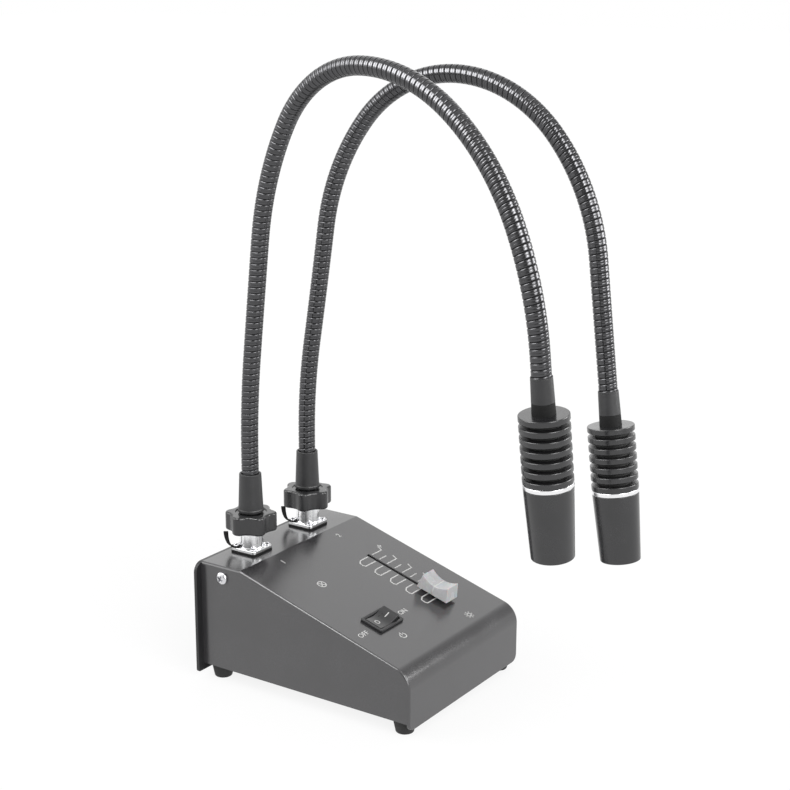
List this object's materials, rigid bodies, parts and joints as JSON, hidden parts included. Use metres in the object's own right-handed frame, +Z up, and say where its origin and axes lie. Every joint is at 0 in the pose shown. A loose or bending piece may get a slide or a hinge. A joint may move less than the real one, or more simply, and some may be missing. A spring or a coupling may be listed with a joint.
{
  "type": "microscope led illuminator",
  "caption": "Bench illuminator with a wedge-shaped control base and LED spot heads on bendable goosenecks plugged into its top, with a brightness slider and a power switch.",
  "frame": {"origin": "on the table plane, below the middle of the whole object's box with the arms as in the picture", "axes": "+Z up, -Y to the front where the controls and the heads are, +X to the right seen from the front"},
  "size_m": [0.1442, 0.244, 0.3577],
  "materials": {
    "cover_paint": "fine powder coat, satin",
    "black_paint": "black powder coat",
    "screw_chrome": "bright plated",
    "screw_steel": "zinc plated",
    "foot_rubber": "matt",
    "board_green": "solder mask",
    "component_grey": "moulded",
    "standoff_brass": "turned",
    "switch_black": "moulded, satin",
    "rocker_black": "moulded, polished",
    "slider_steel": "plated",
    "cap_grey": "pale, slightly see-through",
    "socket_chrome": "bright plated",
    "gasket_rubber": "matt",
    "sleeve_black": "black anodised",
    "knob_black": "moulded",
    "neck_black": "black, ribbed",
    "head_black": "black anodised",
    "ring_bright": "turned bright",
    "led_yellow": "phosphor",
    "lens_clear": "clear"
  },
  "bodies": {
    "base": {"cover": "cover_paint", "rear_plate": "black_paint", "bottom_plate": "black_paint", "side_screws": "screw_chrome", "rear_screws": "screw_steel", "feet": "foot_rubber", "foot_screws": "screw_steel", "driver_board": "board_green", "driver_parts": "component_grey", "standoffs": "standoff_brass", "board_screws": "screw_steel", "rocker_frame": "switch_black", "slider_body": "slider_steel", "inlet_body": "switch_black", "inlet_pin": "socket_chrome", "inlet_nut": "screw_steel", "left_socket": "socket_chrome", "right_socket": "socket_chrome", "socket_gaskets": "gasket_rubber", "socket_inserts": "switch_black", "flange_screws": "screw_chrome", "socket_straps": "gasket_rubber", "left_plug": "sleeve_black", "right_plug": "sleeve_black", "left_sleeve": "sleeve_black", "right_sleeve": "sleeve_black"},
    "rocker": {"rocker": "rocker_black"},
    "slider": {"slider_blade": "slider_steel", "slider_cap": "cap_grey"},
    "left_knob": {"left_knob": "knob_black"},
    "right_knob": {"right_knob": "knob_black"},
    "left_arm_1": {"left_neck_1": "neck_black"},
    "left_arm_2": {"left_neck_2": "neck_black"},
    "left_arm_3": {"left_neck_3": "neck_black"},
    "left_arm_4": {"left_neck_4": "neck_black"},
    "left_arm_5": {"left_neck_5": "neck_black"},
    "left_arm_6": {"left_neck_6": "neck_black"},
    "left_arm_7": {"left_neck_7": "neck_black", "left_tail": "sleeve_black", "left_heat_sink": "head_black", "left_ring": "ring_bright", "left_front": "head_black", "left_led": "led_yellow", "left_lens": "lens_clear", "left_retainer": "head_black"},
    "right_arm_1": {"right_neck_1": "neck_black"},
    "right_arm_2": {"right_neck_2": "neck_black"},
    "right_arm_3": {"right_neck_3": "neck_black"},
    "right_arm_4": {"right_neck_4": "neck_black"},
    "right_arm_5": {"right_neck_5": "neck_black"},
    "right_arm_6": {"right_neck_6": "neck_black"},
    "right_arm_7": {"right_neck_7": "neck_black", "right_tail": "sleeve_black", "right_heat_sink": "head_black", "right_ring": "ring_bright", "right_front": "head_black", "right_led": "led_yellow", "right_lens": "lens_clear", "right_retainer": "head_black"}
  },
  "joints": [
    {"name": "power_rock", "type": "hinge", "parent": "base", "child": "rocker", "pos_m": [-0.01576, 0.0149, 0.04656], "axis": [0, 0.9585, 0.2851], "range_deg": [0, 20]},
    {"name": "brightness_slide", "type": "slide", "parent": "base", "child": "slider", "axis": [0, 0.9585, 0.2851], "range_m": [0, 0.045]},
    {"name": "left_knob_turn", "type": "hinge", "parent": "base", "child": "left_knob", "pos_m": [-0.01676, 0.10555, 0.09], "axis": [0, 0, 1], "range_deg": [0, 90]},
    {"name": "right_knob_turn", "type": "hinge", "parent": "base", "child": "right_knob", "pos_m": [0.03724, 0.10555, 0.09], "axis": [0, 0, 1], "range_deg": [0, 90]},
    {"name": "left_swing", "type": "hinge", "parent": "base", "child": "left_arm_1", "pos_m": [-0.01676, 0.10555, 0.1186], "axis": [0, 0, 1], "range_deg": [-60, 12]},
    {"name": "left_bend_1", "type": "hinge", "parent": "left_arm_1", "child": "left_arm_2", "pos_m": [-0.01762, 0.1018, 0.18723], "axis": [0.9744, -0.225, 0], "range_deg": [-15, 5]},
    {"name": "left_bend_2", "type": "hinge", "parent": "left_arm_2", "child": "left_arm_3", "pos_m": [-0.01971, 0.09276, 0.2554], "axis": [0.9744, -0.225, 0], "range_deg": [-20, 5]},
    {"name": "left_bend_3", "type": "hinge", "parent": "left_arm_3", "child": "left_arm_4", "pos_m": [-0.02503, 0.06974, 0.31946], "axis": [0.9744, -0.225, 0], "range_deg": [-25, 6]},
    {"name": "left_bend_4", "type": "hinge", "parent": "left_arm_4", "child": "left_arm_5", "pos_m": [-0.03792, 0.01388, 0.35256], "axis": [0.9744, -0.225, 0], "range_deg": [-25, 8]},
    {"name": "left_bend_5", "type": "hinge", "parent": "left_arm_5", "child": "left_arm_6", "pos_m": [-0.05257, -0.04955, 0.33419], "axis": [0.9744, -0.225, 0], "range_deg": [-25, 10]},
    {"name": "left_bend_6", "type": "hinge", "parent": "left_arm_6", "child": "left_arm_7", "pos_m": [-0.06255, -0.09279, 0.28269], "axis": [0.9744, -0.225, 0], "range_deg": [-25, 10]},
    {"name": "right_swing", "type": "hinge", "parent": "base", "child": "right_arm_1", "pos_m": [0.03724, 0.10555, 0.1186], "axis": [0, 0, 1], "range_deg": [-12, 60]},
    {"name": "right_bend_1", "type": "hinge", "parent": "right_arm_1", "child": "right_arm_2", "pos_m": [0.03715, 0.10068, 0.18713], "axis": [0.9998, -0.0175, 0], "range_deg": [-15, 5]},
    {"name": "right_bend_2", "type": "hinge", "parent": "right_arm_2", "child": "right_arm_3", "pos_m": [0.03697, 0.08992, 0.25508], "axis": [0.9998, -0.0175, 0], "range_deg": [-20, 5]},
    {"name": "right_bend_3", "type": "hinge", "parent": "right_arm_3", "child": "right_arm_4", "pos_m": [0.03648, 0.06228, 0.31717], "axis": [0.9998, -0.0175, 0], "range_deg": [-25, 6]},
    {"name": "right_bend_4", "type": "hinge", "parent": "right_arm_4", "child": "right_arm_5", "pos_m": [0.03543, 0.00189, 0.34502], "axis": [0.9998, -0.0175, 0], "range_deg": [-25, 8]},
    {"name": "right_bend_5", "type": "hinge", "parent": "right_arm_5", "child": "right_arm_6", "pos_m": [0.03437, -0.05864, 0.31678], "axis": [0.9998, -0.0175, 0], "range_deg": [-25, 10]},
    {"name": "right_bend_6", "type": "hinge", "parent": "right_arm_6", "child": "right_arm_7", "pos_m": [0.03389, -0.08621, 0.25485], "axis": [0.9998, -0.0175, 0], "range_deg": [-25, 10]}
  ]
}
